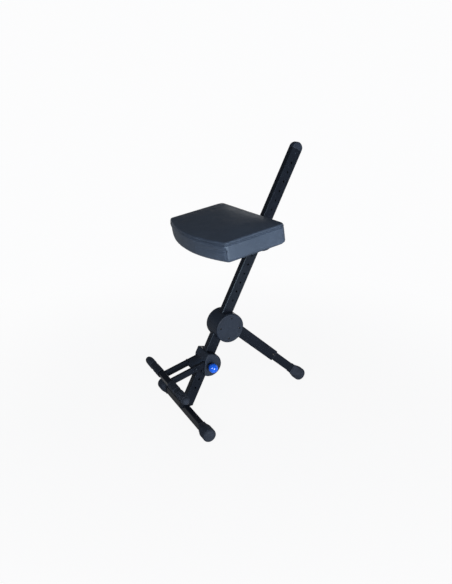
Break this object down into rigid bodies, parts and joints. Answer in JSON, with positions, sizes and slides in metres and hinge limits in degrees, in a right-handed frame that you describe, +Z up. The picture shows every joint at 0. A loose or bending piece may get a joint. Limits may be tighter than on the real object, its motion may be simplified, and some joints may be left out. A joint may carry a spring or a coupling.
{
  "type": "keyboard stool",
  "caption": "Keyboard stool with a leaning mast, a sliding padded seat, a sliding fold-up footrest and a folding telescopic rear leg.",
  "frame": {"origin": "middle of the footprint, on the floor", "axes": "+X the sitter's left, -Y the way the sitter faces, +Z up"},
  "size_m": [0.399, 0.5938, 0.9052],
  "materials": {
    "coated_steel": "satin black powder coat",
    "black_plastic": "finely textured moulding",
    "black_rubber": "matt",
    "black_vinyl": "satin vinyl over foam",
    "blue_knob": "polished",
    "zinc_steel": "zinc plated",
    "seat_board": "raw plywood"
  },
  "bodies": {
    "mast": {"mast_tube": "coated_steel", "mast_cap": "black_plastic", "base_bar": "coated_steel", "base_boot_left": "black_rubber", "base_boot_right": "black_rubber", "hub_housing": "black_plastic", "hub_cover_left": "black_plastic", "hub_cover_right": "black_plastic", "hub_axle_bolt": "zinc_steel", "hub_axle_nut": "zinc_steel", "hub_clamp_bolt_upper": "zinc_steel", "hub_clamp_nut_upper": "zinc_steel", "hub_clamp_bolt_lower": "zinc_steel", "hub_clamp_nut_lower": "zinc_steel", "leg_stop_pin": "zinc_steel"},
    "rear_leg": {"leg_fork_left": "coated_steel", "leg_fork_right": "coated_steel", "leg_outer_tube": "coated_steel", "leg_bush": "black_plastic", "leg_lock_screw": "zinc_steel"},
    "leg_extension": {"leg_inner_tube": "coated_steel", "leg_boot": "black_rubber"},
    "footrest_carriage": {"footrest_carriage": "black_plastic", "footrest_pin_bushing": "zinc_steel", "footrest_pin_spring": "zinc_steel", "footrest_hinge_bolt": "zinc_steel", "footrest_hinge_nut": "zinc_steel"},
    "footrest": {"footrest_arm_left": "coated_steel", "footrest_arm_right": "coated_steel", "footrest_crossbar": "coated_steel", "footrest_sleeve_left": "black_rubber", "footrest_sleeve_right": "black_rubber"},
    "footrest_knob": {"footrest_knob": "blue_knob", "footrest_lock_pin": "zinc_steel"},
    "seat_carriage": {"seat_carriage": "black_plastic", "seat_pin_bushing": "zinc_steel", "seat_pin_spring": "zinc_steel", "seat_bracket": "coated_steel", "seat_bolt_front": "zinc_steel", "seat_nut_front": "zinc_steel", "seat_bolt_rear": "zinc_steel", "seat_nut_rear": "zinc_steel", "seat_board": "seat_board", "seat_screw_1": "zinc_steel", "seat_screw_2": "zinc_steel", "seat_screw_3": "zinc_steel", "seat_screw_4": "zinc_steel", "seat_cushion": "black_vinyl"},
    "seat_knob": {"seat_knob": "blue_knob", "seat_lock_pin": "zinc_steel"}
  },
  "joints": [
    {"name": "leg_fold", "type": "hinge", "parent": "mast", "child": "rear_leg", "pos_m": [0, -0.0526, 0.2903], "axis": [-1, 0, 0], "range_deg": [0, 74]},
    {"name": "leg_length", "type": "slide", "parent": "rear_leg", "child": "leg_extension", "axis": [0, 0.7455, -0.6665], "range_m": [0, 0.06]},
    {"name": "footrest_height", "type": "slide", "parent": "mast", "child": "footrest_carriage", "axis": [0, 0.4446, 0.8957], "range_m": [-0.0999, 0.0333]},
    {"name": "footrest_fold", "type": "hinge", "parent": "footrest_carriage", "child": "footrest", "pos_m": [0, -0.18594, 0.17686], "axis": [-1, 0, 0], "range_deg": [0, 118]},
    {"name": "footrest_pin_pull", "type": "slide", "parent": "footrest_carriage", "child": "footrest_knob", "axis": [1, 0, 0], "range_m": [0, 0.007], "stiffness_N_per_m": 600},
    {"name": "seat_height", "type": "slide", "parent": "mast", "child": "seat_carriage", "axis": [0, 0.4446, 0.8957], "range_m": [-0.1665, 0.2664]},
    {"name": "seat_pin_pull", "type": "slide", "parent": "seat_carriage", "child": "seat_knob", "axis": [1, 0, 0], "range_m": [0, 0.007], "stiffness_N_per_m": 600}
  ]
}
